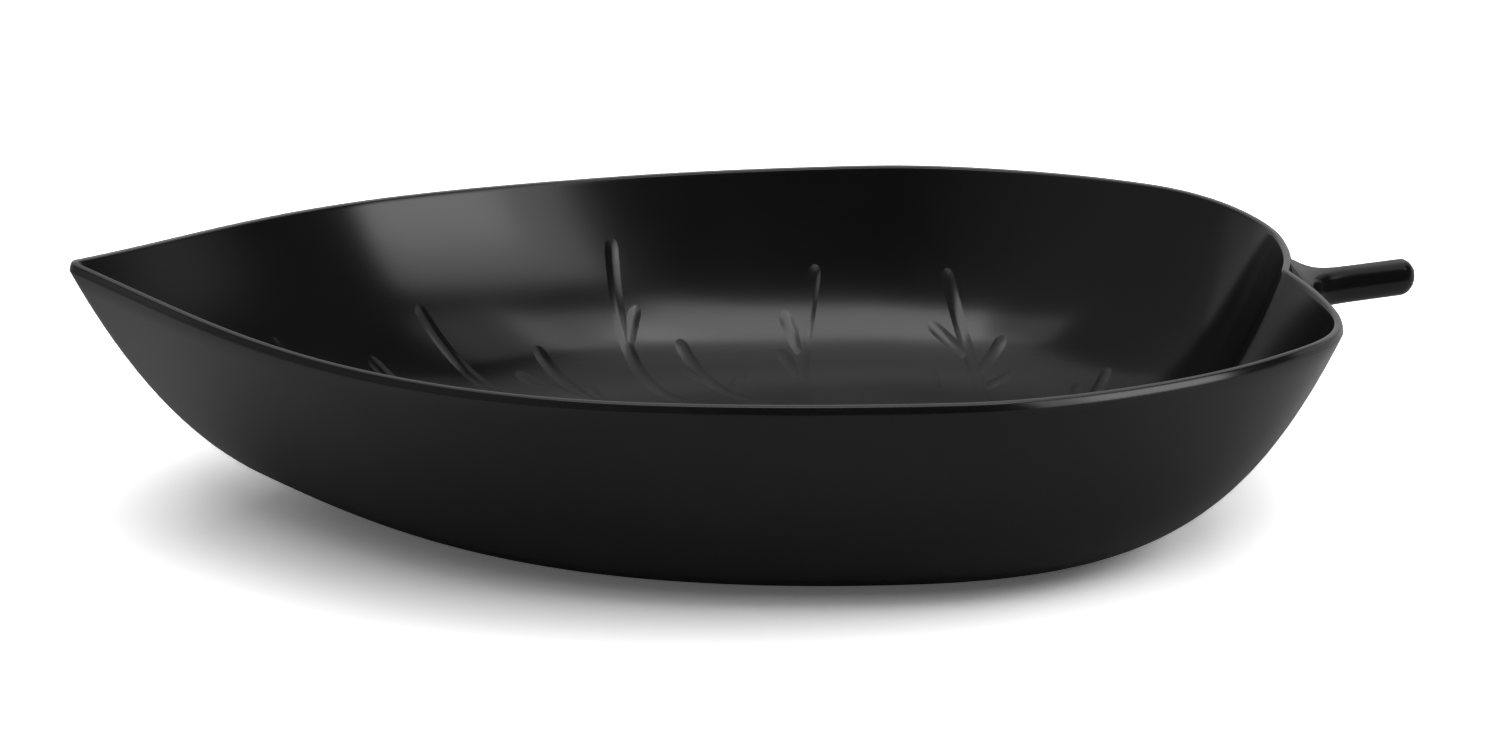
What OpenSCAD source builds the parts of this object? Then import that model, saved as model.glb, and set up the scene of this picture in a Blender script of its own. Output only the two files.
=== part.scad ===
// Leaf-shaped serving bowl with a short stem handle and a raised vein relief inside.
// The leaf's tip points along -X, its stem along +X, and the bowl stands on z = 0.
// Lengths are in millimetres and angles in degrees. Fullness and share values run from 0 to 1.

/* [Leaf outline at the rim] */
// Length of the leaf, from the tip to the end of the lobes
leaf_length = 304; // [270:1:340]
// Width of the leaf at its widest place
leaf_width = 195; // [160:1:230]
// Distance from the tip to the widest place
leaf_widest = 206; // [185:1:220]
// Angle between each edge and the midline at the tip
tip_angle = 46; // [38:1:54]
// Inside radius of the rounded tip
tip_inner_radius = 1.6; // [0.6:0.1:5]
// How far the edges run straight on from the tip
tip_fullness = 0.47; // [0.2:0.01:0.55]
// Fullness of the edge on the tip's side of the widest place
fore_fullness = 0.69; // [0.4:0.01:0.8]
// Fullness of the edge on the stem's side of the widest place
aft_fullness = 0.26; // [0.2:0.01:0.6]
// Distance between the ends of the two lobes
lobe_gap = 63; // [40:1:80]
// Fullness of the lobes
lobe_fullness = 0.67; // [0.5:0.01:0.9]
// Depth of the notch between the lobes
notch_depth = 5; // [3:0.5:10]

/* [Wall] */
// Height of the wall's outer edge, where the rim starts
wall_height = 54.7; // [40:0.1:75]
// Thickness of the wall and the floor
wall = 2.8; // [2.2:0.1:4.5]
// How sharply the wall turns up from the floor
wall_sweep = 3; // [1.8:0.1:3.6]
// How sharply it turns up at the tip
tip_sweep = 3.4; // [1.8:0.05:3.8]
// How much higher the rim is at the tip
tip_rise = 7.8; // [0:0.1:14]
// Distance from the tip over which the rim rises
tip_rise_run = 133; // [80:1:160]
// How much lower the rim is at the lobes
lobe_dip = 2.6; // [0:0.1:4]
// Distance from the end of the lobes over which the rim dips
lobe_dip_run = 25; // [15:1:60]

/* [Floor] */
// Distance from the tip to the front of the floor
floor_start = 99; // [85:1:110]
// Distance from the tip to the back of the floor
floor_end = 243; // [230:1:255]
// Width of the floor at its widest place
floor_width = 114; // [90:1:130]
// Distance from the tip to the floor's widest place
floor_widest = 192; // [175:1:210]
// Radius of the floor's front end
floor_nose_radius = 15; // [10:1:24]
// Angle between each edge of the floor and the midline at its front end
floor_nose_angle = 68; // [55:1:75]
// Width of the straight back edge of the floor
floor_back_width = 17; // [10:1:30]

/* [Foot ring] */
// Height of the foot ring
foot_height = 1.2; // [0.8:0.1:3]
// Width of the foot ring's tread
foot_width = 5; // [3:0.5:8]
// Distance from the edge of the floor to the foot ring
foot_inset = 2; // [1:0.5:6]

/* [Stem] */
// Length of the stem, from the notch to its end
stem_length = 31; // [18:1:45]
// Width of the stem
stem_width = 8.4; // [7:0.2:12]
// Width of the stem's top near the rim, with its rounded edges
stem_top_width = 6.4; // [6:0.2:9]
// Width of the stem's top at its end
stem_end_width = 7.6; // [6:0.2:12]
// Thickness of the stem at its end
stem_thickness = 8.9; // [7:0.1:11]
// Thickness of the stem where it joins the rim
stem_root_thickness = 9.3; // [7:0.1:12]
// Radius of the two long edges of the stem's top
stem_edge_radius = 2.9; // [1:0.1:3]
// Length of the stem's domed end
stem_end_length = 3.6; // [1:0.1:6]
// Extra width of the stem where it joins the rim
stem_root_flare = 20; // [4:0.5:24]
// Height of the stem's top over the wall's outer edge at the notch
stem_lift = 1; // [0:0.1:2]
// Angle at which the stem rises
stem_rise = 6; // [0:0.5:12]

/* [Veins] */
// Width of a side vein
vein_width = 4; // [2.4:0.1:5]
// Height of the veins above the inner surface
vein_height = 0.7; // [0.5:0.1:1.2]
// Width of the midrib at the stem's end
midrib_width = 6; // [4:0.2:9]
// Width of the midrib at the tip's end
midrib_tip_width = 3; // [2.4:0.1:4]

/* [Hidden] */
// Steps along each stretch of half an outline: tip, fore edge, aft edge and lobe
TIP_STEPS = 4;
FORE_STEPS = 22;
AFT_STEPS = 16;
LOBE_STEPS = 6;
// Steps up the wall and over the rim
WALL_STEPS = 12;
LIP_STEPS = 4;
// Steps of a vein on the floor, up the wall and along a fork
FLOOR_VEIN_STEPS = 4;
WALL_VEIN_STEPS = 6;
FORK_STEPS = 2;
MIDRIB_STEPS = 9;
STEM_STEPS = 20;
STEM_END_STEPS = 4;
BEAD_SIDES = 8;
STEM_SIDES = 40;

// Shape factors of the notch, of the floor's outline and of the stem's flare
NOTCH_HANDLES = [0.6, 0.06];
FLOOR_FULLNESS = [0.89, 0.3, 0.63, 0.92];
FLARE_POWER = 10;
// The rim's rise over the wall's outer edge, the lean of its outer face and the easing of its inner edge,
// as shares of the wall, and how square the outer face's ends are
RIM_RISE = 0.7;
RIM_LEAN = 0.22;
RIM_EASE = 0.14;
RIM_SQUARE = 1.3;
// Size of the flat at the stem's end, as a share of the stem
STEM_END_SCALE = 0.3;

// The outside of the tip is rounded by the wall on top of the inside radius.
tip_radius = wall + tip_inner_radius;
notch_x = leaf_length - notch_depth;
overall_length = notch_x + stem_length;
stem_root_x = notch_x - wall;
centre_x = overall_length / 2;
underside_z = foot_height;
floor_z = foot_height + wall;

// The side veins of one half, from the tip to the stem. Each has the station where it leaves the floor,
// the station and height share where it ends, and its forks: start height, end station and end height.
VEINS = [
    [0.160, 0.186, 0.83, []],
    [0.222, 0.246, 0.73, []],
    [0.275, 0.312, 0.82, []],
    [0.322, 0.367, 0.66, [[0.33, 0.332, 0.57], [0.24, 0.368, 0.45]]],
    [0.380, 0.442, 0.91, [[0.60, 0.442, 0.75]]],
    [0.440, 0.453, 0.63, [[0.36, 0.441, 0.50], [0.18, 0.480, 0.44]]],
    [0.502, 0.523, 0.83, [[0.50, 0.508, 0.71], [0.33, 0.503, 0.56]]],
    [0.650, 0.613, 0.44, []],
    [0.705, 0.613, 0.82, [[0.50, 0.604, 0.66], [0.38, 0.671, 0.63], [0.24, 0.696, 0.46]]],
    [0.820, 0.772, 0.57, [[0.20, 0.755, 0.45]]],
];
// Where the first vein leaves the midrib and how far apart they are, as shares of the floor's length
VEIN_FIRST_ROOT = 0.36;
VEIN_ROOT_STEP = 0.07;
// The midrib's ends, as height shares on the wall at the tip and at the notch
MIDRIB_ENDS = [0.6, 0.5];

VEIN_NUMBERS = [1 : len(VEINS)];

function unit(v) = v / norm(v);
function mirrored(p) = [p.x, -p.y, p.z];
function mix(a, b, t) = a + (b - a) * t;

// A point on a cubic curve.
function curve(p, t) =
    p[0] * pow(1 - t, 3) + 3 * p[1] * t * pow(1 - t, 2) + 3 * p[2] * t * t * (1 - t) + p[3] * pow(t, 3);

// A cubic curve in equal steps, without its first point.
function curve_points(p, steps) = [for (k = [1 : steps]) curve(p, k / steps)];

// Half a leaf outline from the tip to the notch, on the +Y side: a round nose, a fore edge
// up to the widest place, an aft edge round the lobe, and the notch.
function half_outline(start, nose_r, nose_angle, widest, half_width, end, lobe, notch, full) =
    let (
        nose = [for (k = [0 : TIP_STEPS])
            let (a = (90 - nose_angle) * k / TIP_STEPS) [start + nose_r * (1 - cos(a)), nose_r * sin(a)]],
        from = nose[TIP_STEPS],
        side = [widest, half_width],
        tail = [end, lobe],
        heading = [cos(nose_angle), sin(nose_angle)],
        run = (half_width - from.y) / sin(nose_angle),
        fore = [from, from + heading * run * full[0], side - [full[1] * (widest - from.x), 0], side],
        aft = [side, side + [full[2] * (end - widest), 0], tail + [0, full[3] * (half_width - lobe)], tail],
        inlet = [tail, [end, lobe * (1 - NOTCH_HANDLES[0])],
            [end - notch, lobe * NOTCH_HANDLES[1]], [end - notch, 0]]
    )
    concat(
        nose,
        curve_points(fore, FORE_STEPS),
        curve_points(aft, AFT_STEPS),
        curve_points(inlet, LOBE_STEPS)
    );

RIM = half_outline(0, tip_radius, tip_angle, leaf_widest, leaf_width / 2, leaf_length, lobe_gap / 2,
    notch_depth, [tip_fullness, fore_fullness, aft_fullness, lobe_fullness]);
FLOOR = half_outline(floor_start, floor_nose_radius, floor_nose_angle, floor_widest, floor_width / 2,
    floor_end, floor_back_width / 2, 0, FLOOR_FULLNESS);
LAST = len(RIM) - 1;

// Height of the wall's outer edge at a distance from the tip.
function edge_z(x) =
    wall_height
    + tip_rise * pow(max(0, 1 - x / tip_rise_run), 2)
    - lobe_dip * pow(max(0, 1 - (leaf_length - x) / lobe_dip_run), 2);

// How sharply the wall turns up at a distance from the tip.
function sweep(x) = mix(wall_sweep, tip_sweep, pow(max(0, 1 - x / tip_rise_run), 2));

// A point on the outside of the wall, at a station of the outline and a share of the way up.
function outer(i, g) =
    let (
        xy = mix(FLOOR[i], RIM[i], g),
        z = mix(underside_z, edge_z(RIM[i].x), pow(g, sweep(RIM[i].x)))
    )
    [xy.x - centre_x, xy.y, z];

// The outside point next to a station, carried over the midline at both ends of the half.
function beside(i, g, step) =
    i + step < 0 || i + step > LAST ? mirrored(outer(i - step, g)) : outer(i + step, g);

// The direction up the wall, and the one into the bowl square to the wall.
function upward(i, g) =
    let (
        across = RIM[i] - FLOOR[i],
        turn = sweep(RIM[i].x),
        climb = (edge_z(RIM[i].x) - underside_z) * turn * pow(g, turn - 1)
    )
    unit([across.x, across.y, climb]);
function inward(i, g) = unit(cross(beside(i, g, 1) - beside(i, g, -1), upward(i, g)));

function inner(i, g) = outer(i, g) + inward(i, g) * wall;

// The rim's cross-section at a station, from outside to inside: a face that leans in, eased at its ends,
// then a flat top, and its inner edge eased into the inside of the wall.
function lip(i) =
    let (
        edge = outer(i, 1),
        in = inward(i, 1),
        up = upward(i, 1),
        level = unit([in.x, in.y, 0]),
        corner = edge + in * wall + up * wall * (RIM_RISE - in.z) / up.z,
        ease = RIM_EASE * wall
    )
    concat(
        [for (k = [1 : LIP_STEPS])
            let (
                a = 90 * k / LIP_STEPS,
                lean = RIM_LEAN * (1 - pow(cos(a), 2 / RIM_SQUARE)),
                rise = RIM_RISE * pow(sin(a), 2 / RIM_SQUARE)
            )
            edge + (level * lean + [0, 0, rise]) * wall],
        [corner - level * ease, corner - (level + up) * ease * (1 - sqrt(1 / 2)), corner - up * ease]
    );

// A closed ring from the points of one half.
function ring(half) = concat(half, [for (i = [LAST - 1 : -1 : 1]) mirrored(half[i])]);

OUTER_ROWS = [for (k = [0 : WALL_STEPS]) ring([for (i = [0 : LAST]) outer(i, k / WALL_STEPS)])];
LIPS = [for (i = [0 : LAST]) lip(i)];
LIP_ROWS = [for (k = [0 : len(LIPS[0]) - 1]) ring([for (i = [0 : LAST]) LIPS[i][k]])];
INNER_ROWS = [for (k = [0 : WALL_STEPS]) ring([for (i = [0 : LAST]) inner(i, k / WALL_STEPS)])];

// A solid through rings of points, closed at the first and the last ring by fans from its middle.
// From the row where it turns back down, its quads are split along their other diagonal, so that
// the inside of the shell and the hollow in it have the same facets.
module closed_loft(rows, turn = undef) {
    n = len(rows[0]);
    top = len(rows) - 1;
    middles = [for (r = [0, top]) [for (p = rows[r]) 1] * rows[r] / n];
    points = concat([for (row = rows) each row], middles);
    bands = [for (r = [0 : top - 1], c = [0 : n - 1])
        let (d = (c + 1) % n, a = r * n, b = a + n)
        each is_undef(turn) || r < turn
            ? [[a + c, a + d, b + d], [a + c, b + d, b + c]]
            : [[a + c, a + d, b + c], [a + d, b + d, b + c]]];
    caps = [for (c = [0 : n - 1])
        let (d = (c + 1) % n, b = top * n, m = (top + 1) * n)
        each [[m, d, c], [m + 1, b + c, b + d]]];
    polyhedron(points, concat(bands, caps));
}

module bowl_shell() {
    color("#1c1c1e")
        closed_loft(
            concat(OUTER_ROWS, LIP_ROWS, [for (k = [WALL_STEPS : -1 : 0]) INNER_ROWS[k]]),
            len(OUTER_ROWS) + len(LIP_ROWS)
        );
}

// The hollow of the bowl, up to the inside of the rim.
module hollow() {
    closed_loft(INNER_ROWS);
}

// The space that the bowl's solid wall and its hollow fill together.
module filled_bowl() {
    closed_loft(concat(OUTER_ROWS, LIP_ROWS));
}

// The floor's outline, drawn in by a distance.
function floor_inset(distance) =
    let (
        half = [for (i = [0 : LAST])
            let (
                before = i == 0 ? [FLOOR[1].x, -FLOOR[1].y] : FLOOR[i - 1],
                after = i == LAST ? [FLOOR[i - 1].x, -FLOOR[i - 1].y] : FLOOR[i + 1],
                along = unit(after - before)
            )
            [FLOOR[i].x - centre_x + along.y * distance, FLOOR[i].y - along.x * distance]]
    )
    concat(half, [for (i = [LAST - 1 : -1 : 1]) [half[i].x, -half[i].y]]);

module foot_ring() {
    tread = floor_inset(foot_inset);
    hole = floor_inset(foot_inset + foot_width);
    n = len(tread);
    color("#1c1c1e")
        linear_extrude(foot_height)
            polygon(concat(tread, hole), [[for (i = [0 : n - 1]) i], [for (i = [0 : n - 1]) n + i]]);
}

// The outermost point of some circles in a direction. Each circle has its middle and its radius.
function outermost(circles, way) =
    let (
        reaches = [for (c = circles) c[0] * way + c[1]],
        best = search(max(reaches), reaches)[0]
    )
    circles[best][0] + circles[best][1] * way;

// A cross-section of the stem at a distance from the tip, at a share of its full size: a round belly
// under a flatter top that widens towards the end.
function stem_row(x, size) =
    let (
        t = (x - stem_root_x) / (overall_length - stem_root_x),
        past = max(0, (x - notch_x - wall) / stem_length),
        spread = stem_root_flare / 2 * pow(1 - past, FLARE_POWER),
        top = edge_z(notch_x) + stem_lift + (x - notch_x) * tan(stem_rise),
        half = mix(stem_root_thickness, stem_thickness, t) / 2,
        belly = min(stem_width / 2, half),
        top_reach = mix(stem_top_width, stem_end_width, t) / 2 - stem_edge_radius + spread,
        belly_reach = stem_width / 2 - belly + spread,
        circles = [for (side = [-1, 1])
            each [[[side * top_reach, half - stem_edge_radius], stem_edge_radius],
                [[side * belly_reach, belly - half], belly]]]
    )
    [for (k = [0 : STEM_SIDES - 1])
        let (a = -360 * (k + 0.5) / STEM_SIDES, p = outermost(circles, [cos(a), sin(a)]) * size)
        [x - centre_x, p.x, top - half + p.y]];

// The stem's rows of points, from inside the wall to the dome at the end.
function stem_rows() =
    let (
        start = stem_root_x - wall,
        straight_end = overall_length - stem_end_length,
        last = acos(STEM_END_SCALE)
    )
    concat(
        [for (k = [0 : STEM_STEPS]) stem_row(mix(start, straight_end, k / STEM_STEPS), 1)],
        [for (k = [1 : STEM_END_STEPS])
            let (a = last * k / STEM_END_STEPS)
            stem_row(straight_end + stem_end_length * sin(a) / sin(last), cos(a))]
    );

module stem_handle() {
    color("#161617")
        difference() {
            closed_loft(stem_rows());
            filled_bowl();
        }
}

// A rounded ridge through a path of points, each with its own width.
module ridge(path, widths) {
    for (k = [0 : len(path) - 2])
        hull()
            for (j = [k, k + 1])
                translate(path[j])
                    sphere(widths[j] / 2, $fn = BEAD_SIDES);
}

// What stands out into the hollow.
module relief() {
    color("#1c1c1e")
        intersection() {
            children();
            hollow();
        }
}

// The middle of a bead that stands out by the veins' height, on the wall and on the floor.
function wall_bead(station, g, width) =
    let (
        i = min(floor(station * LAST), LAST - 1),
        t = station * LAST - i,
        rise = vein_height - width / 2
    )
    mix(inner(i, g) + inward(i, g) * rise, inner(i + 1, g) + inward(i + 1, g) * rise, t);
function floor_bead(x, y, width) = [x - centre_x, y, floor_z + vein_height - width / 2];

// The station of a vein at a height share on the wall.
function vein_station(vein, g) = mix(vein[0], vein[1], g / vein[2]);

// A side vein: from its root at the midrib over the floor, then up the wall, with its forks.
module side_vein(k) {
    vein = VEINS[k - 1];
    climb = [for (j = [0 : WALL_VEIN_STEPS])
        let (g = vein[2] * j / WALL_VEIN_STEPS) wall_bead(vein_station(vein, g), g, vein_width)];
    edge = climb[0];
    root_share = VEIN_FIRST_ROOT + (k - 1) * VEIN_ROOT_STEP;
    root = floor_bead(mix(floor_start, floor_end, root_share), midrib_tip_width / 2, vein_width);
    reach = norm(edge - root) / 3;
    heading = unit([climb[1].x - edge.x, climb[1].y - edge.y, 0]);
    run = [root, mix(root, edge, 1 / 3), edge - heading * reach, edge];
    path = concat([root], curve_points(run, FLOOR_VEIN_STEPS), [for (j = [1 : WALL_VEIN_STEPS]) climb[j]]);
    relief()
        difference() {
            union() {
                ridge(path, [for (p = path) vein_width]);
                for (fork = vein[3])
                    ridge(twig(vein, fork), [for (j = [0 : FORK_STEPS]) vein_width]);
            }
            midrib_ridge();
        }
}

// The path of a fork, from where it leaves its vein.
function twig(vein, fork) =
    let (start = vein_station(vein, fork[0]))
    [for (j = [0 : FORK_STEPS])
        let (t = j / FORK_STEPS)
        wall_bead(mix(start, fork[1], t), mix(fork[0], fork[2], t), vein_width)];

module left_vein(k) {
    mirror([0, 1, 0])
        side_vein(k);
}

module right_vein(k) {
    side_vein(k);
}

// The midrib: up the wall at the tip, along the floor and up the wall at the notch, wider towards the stem.
module midrib_ridge() {
    widths = [for (k = [0 : MIDRIB_STEPS]) mix(midrib_tip_width, midrib_width, k / MIDRIB_STEPS)];
    third = MIDRIB_STEPS / 3;
    path = [for (k = [0 : MIDRIB_STEPS])
        k < third ? wall_bead(0, MIDRIB_ENDS[0] * (third - k) / third, widths[k])
        : k > 2 * third ? wall_bead(1, MIDRIB_ENDS[1] * (k - 2 * third) / third, widths[k])
        : floor_bead(mix(floor_start, floor_end, (k - third) / third), 0, widths[k])];
    ridge(path, widths);
}

module midrib() {
    relief()
        midrib_ridge();
}

bowl_shell();
foot_ring();
stem_handle();
midrib();
for (k = VEIN_NUMBERS) {
    left_vein(k);
    right_vein(k);
}
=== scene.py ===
"""Dressed model of a leaf-shaped serving bowl: satin black, with a stem handle and raised veins inside.

All lengths are in metres and all angles in degrees. Distances along the leaf are counted from its tip,
and a mesh is moved to the part's own origin when it is made. A station runs from 0 at the tip to 1 at
the notch on the right half, and on to 2, back at the tip, on the left half. A height share runs from 0
at the edge of the floor to 1 at the rim.
"""

import logging
import math
from dataclasses import dataclass
from enum import Enum
from functools import cached_property

import bmesh
import bpy
import numpy as np
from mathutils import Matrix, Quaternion, Vector


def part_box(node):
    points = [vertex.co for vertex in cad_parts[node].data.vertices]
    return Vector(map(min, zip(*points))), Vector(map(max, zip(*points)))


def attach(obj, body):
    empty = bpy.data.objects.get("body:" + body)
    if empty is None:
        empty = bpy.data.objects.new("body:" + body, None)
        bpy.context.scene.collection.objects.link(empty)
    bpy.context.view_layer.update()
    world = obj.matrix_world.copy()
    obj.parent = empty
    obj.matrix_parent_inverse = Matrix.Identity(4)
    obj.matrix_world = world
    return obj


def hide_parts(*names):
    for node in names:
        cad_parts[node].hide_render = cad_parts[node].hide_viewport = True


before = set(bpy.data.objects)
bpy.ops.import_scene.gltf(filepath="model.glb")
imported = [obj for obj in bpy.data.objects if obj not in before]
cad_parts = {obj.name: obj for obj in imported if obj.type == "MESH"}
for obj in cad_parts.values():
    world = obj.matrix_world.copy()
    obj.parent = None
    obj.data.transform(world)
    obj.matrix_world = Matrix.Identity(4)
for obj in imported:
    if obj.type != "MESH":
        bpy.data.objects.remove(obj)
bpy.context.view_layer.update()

LOG = logging.getLogger("leaf_bowl")
BODY = "root"

# Steps of a half outline that count its stations: tip, fore edge, aft edge and lobe.
STRETCHES = (4, 22, 16, 6)
PHOTO_WIDTH = 1500
SENSOR_WIDTH = 36.0
MILLIMETRES = 1000

# A skin is its points and its faces. A path is its points and the directions square to the surface.
Pair = tuple[float, float]
Faces = list[tuple[int, ...]]
Skin = tuple[np.ndarray, Faces]
Path = tuple[np.ndarray, np.ndarray]
Piece = bpy.types.Object
Finish = bpy.types.Material
Tree = bpy.types.NodeTree
Socket = bpy.types.NodeSocket


class Half(Enum):
    """The two halves of the leaf, each with its sign along Y."""

    RIGHT = 1
    LEFT = -1


class Slot(Enum):
    """Names of the material slots."""

    BOWL = "bowl_satin_black"
    STEM = "stem_gloss_black"
    FOOT = "foot_matte_black"


class Role(Enum):
    """What a lamp is there for: the gleams that glossy surfaces mirror, or the glow on dull ones."""

    GLEAM = "gleam"
    GLOW = "glow"


def cubic(control: np.ndarray, t: np.ndarray) -> np.ndarray:
    """Follow a cubic curve.

    Args:
        control: The curve's four control points, one per row.
        t: The places along the curve, from 0 to 1.

    Returns:
        One point per place.
    """
    t = t[:, None]
    start = (1 - t) ** 3 * control[0] + 3 * t * (1 - t) ** 2 * control[1]
    return start + 3 * t**2 * (1 - t) * control[2] + t**3 * control[3]


def unit(vectors: np.ndarray) -> np.ndarray:
    """Return the vectors at length one."""
    return vectors / np.linalg.norm(vectors, axis=-1, keepdims=True)


def arc_lengths(points: np.ndarray) -> np.ndarray:
    """Return the distance of each point of a path from the path's start."""
    return np.concatenate([[0.0], np.cumsum(np.linalg.norm(np.diff(points, axis=0), axis=1))])


def resampled(points: np.ndarray, count: int) -> np.ndarray:
    """Spread points evenly along a path.

    Args:
        points: The path, one point per row.
        count: How many points to return.

    Returns:
        Evenly spaced points with the same two ends.
    """
    arcs = arc_lengths(points)
    even = np.linspace(0.0, arcs[-1], count)
    return np.stack([np.interp(even, arcs, column) for column in points.T], axis=1)


@dataclass(frozen=True)
class HalfOutline:
    """Half of a leaf outline seen from above: a round nose, a fore edge, an aft edge and an inlet."""

    start: float
    nose_radius: float
    nose_angle: float
    widest: float
    half_width: float
    end: float
    lobe: float
    notch: float
    fullness: tuple[float, float, float, float]
    inlet_handles: Pair = (0.6, 0.06)
    fairing: float = 0.005
    fairing_run: float = 0.015
    samples: int = 1600

    def raw(self, stations: np.ndarray) -> np.ndarray:
        """Place stations from 0 to 1 on the outline as it is constructed.

        Args:
            stations: The stations.

        Returns:
            One point of the outline per station.
        """
        bounds = np.cumsum((0, *STRETCHES)) / sum(STRETCHES)
        sweep = math.radians(90 - self.nose_angle)
        heading = np.array([math.sin(sweep), math.cos(sweep)])
        radius = self.nose_radius
        nose_end = np.array([self.start + radius * (1 - math.cos(sweep)), radius * math.sin(sweep)])
        side = np.array([self.widest, self.half_width])
        tail = np.array([self.end, self.lobe])
        bottom = np.array([self.end - self.notch, 0.0])
        run = (self.half_width - nose_end[1]) / heading[1]
        tip_full, fore_full, aft_full, lobe_full = self.fullness
        fore = (
            nose_end,
            nose_end + heading * run * tip_full,
            side - [fore_full * (self.widest - nose_end[0]), 0.0],
            side,
        )
        aft = (
            side,
            side + [aft_full * (self.end - self.widest), 0.0],
            tail + [0.0, lobe_full * (self.half_width - self.lobe)],
            tail,
        )
        inlet = (
            tail,
            tail - [0.0, self.lobe * self.inlet_handles[0]],
            bottom + [0.0, self.lobe * self.inlet_handles[1]],
            bottom,
        )
        points = np.empty((len(stations), 2))
        nose = stations <= bounds[1]
        turn = sweep * stations[nose] / bounds[1]
        points[nose, 0] = self.start + radius * (1 - np.cos(turn))
        points[nose, 1] = radius * np.sin(turn)
        for k, control in enumerate((fore, aft, inlet), start=1):
            part = (stations > bounds[k]) & (stations <= bounds[k + 1])
            share = (stations[part] - bounds[k]) / (bounds[k + 1] - bounds[k])
            points[part] = cubic(np.array(control), share)
        return points

    @cached_property
    def table(self) -> tuple[np.ndarray, np.ndarray, np.ndarray]:
        """The outline with its bends evened out between the nose and the lobe.

        Returns:
            A row of stations with their arc lengths, then even arc lengths and the points there.
        """
        stations = np.linspace(0.0, 1.0, 2 * self.samples)
        points = self.raw(stations)
        arcs = arc_lengths(points)
        even = resampled(points, self.samples)
        reach = np.linspace(0.0, arcs[-1], self.samples)
        spacing = reach[1]
        marks = np.cumsum(STRETCHES) / sum(STRETCHES)
        nose_end, tail = np.interp(marks[[0, 2]], stations, arcs)
        ease_in = np.clip((reach - nose_end) / self.fairing_run, 0.0, 1.0)
        ease_out = np.clip((tail - reach) / self.fairing_run, 0.0, 1.0)
        weight = (ease_in * ease_out)[1:-1, None] / 2
        for _ in range(round(2 * (self.fairing / spacing) ** 2)):
            even[1:-1] += weight * ((even[2:] + even[:-2]) / 2 - even[1:-1])
        return np.stack([stations, arcs]), reach, even

    def at(self, stations: np.ndarray) -> np.ndarray:
        """Place stations of the whole leaf on the outline.

        Args:
            stations: Stations from 0 to 2, or any others, which are taken round the leaf.

        Returns:
            One point of the outline per station.
        """
        turn = np.mod(stations, 2.0)
        side = np.where(turn > 1.0, -1.0, 1.0)
        half = np.where(turn > 1.0, 2.0 - turn, turn)
        (known, arcs), reach, even = self.table
        arc = np.interp(half, known, arcs)
        x, y = (np.interp(arc, reach, column) for column in even.T)
        return np.stack([x, side * y], axis=1)


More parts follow.
